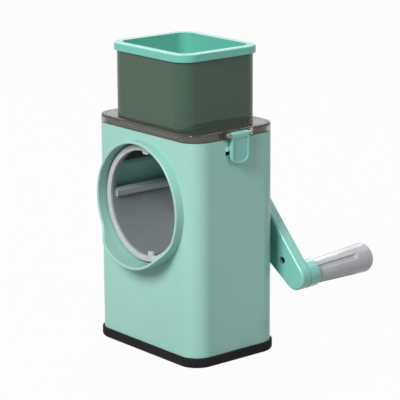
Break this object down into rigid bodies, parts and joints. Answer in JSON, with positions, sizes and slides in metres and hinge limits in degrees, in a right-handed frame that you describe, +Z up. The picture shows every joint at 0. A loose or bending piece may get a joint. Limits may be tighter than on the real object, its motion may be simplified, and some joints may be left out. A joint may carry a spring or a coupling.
{
  "type": "rotary cabbage shredder",
  "caption": "Hand-cranked drum shredder: moulded housing with a round outlet collar at the front, clear hopper with box pusher, bent side crank with a free-turning grip.",
  "frame": {"origin": "centre of the underside of the base pad, on the table", "axes": "+Z up, -Y out of the outlet, +Y to the crank, drum axis along Y"},
  "size_m": [0.1515, 0.1891, 0.2421],
  "materials": {
    "housing": "satin",
    "under_plate": "matte",
    "pad": "matte",
    "smoke_clear": "polished",
    "light_grey": "satin",
    "grip_grey": "satin",
    "drum_steel": "brushed",
    "blade_steel": "ground",
    "steel": "satin",
    "bush": "matte"
  },
  "bodies": {
    "housing": {"body_shell": "housing", "base_plate": "under_plate", "base_pad": "pad", "base_screws": "steel", "hopper": "smoke_clear", "shaft_bush": "bush", "latch_pins": "steel"},
    "crank": {"drum_front_ring": "light_grey", "drum_cylinder": "drum_steel", "drum_rear_disc": "light_grey", "slicing_blades": "blade_steel", "drive_shaft": "steel", "thrust_washer": "bush", "crank_arm": "housing", "crank_arm_cover": "housing", "hub_cap": "housing", "arm_screws": "steel", "hub_screw": "steel", "grip_bolt": "steel"},
    "grip": {"grip": "grip_grey", "grip_cap": "grip_grey"},
    "pusher": {"pusher": "housing"},
    "latch_right": {"latch_right": "housing"},
    "latch_left": {"latch_left": "housing"}
  },
  "joints": [
    {"name": "crank_turn", "type": "hinge", "parent": "housing", "child": "crank", "pos_m": [0, 0, 0.1207], "axis": [0, 1, 0], "continuous": true},
    {"name": "grip_spin", "type": "hinge", "parent": "crank", "child": "grip", "pos_m": [0.07283, 0.059, 0.06002], "axis": [-0.0268, 0.9994, 0.0223], "continuous": true},
    {"name": "pusher_lift", "type": "slide", "parent": "housing", "child": "pusher", "axis": [0, 0, 1], "range_m": [0, 0.075]},
    {"name": "latch_right_swing", "type": "hinge", "parent": "housing", "child": "latch_right", "pos_m": [0.0647, 0, 0.1803], "axis": [0, -1, 0], "range_deg": [0, 110]},
    {"name": "latch_left_swing", "type": "hinge", "parent": "housing", "child": "latch_left", "pos_m": [-0.0647, 0, 0.1803], "axis": [0, 1, 0], "range_deg": [0, 110]}
  ]
}
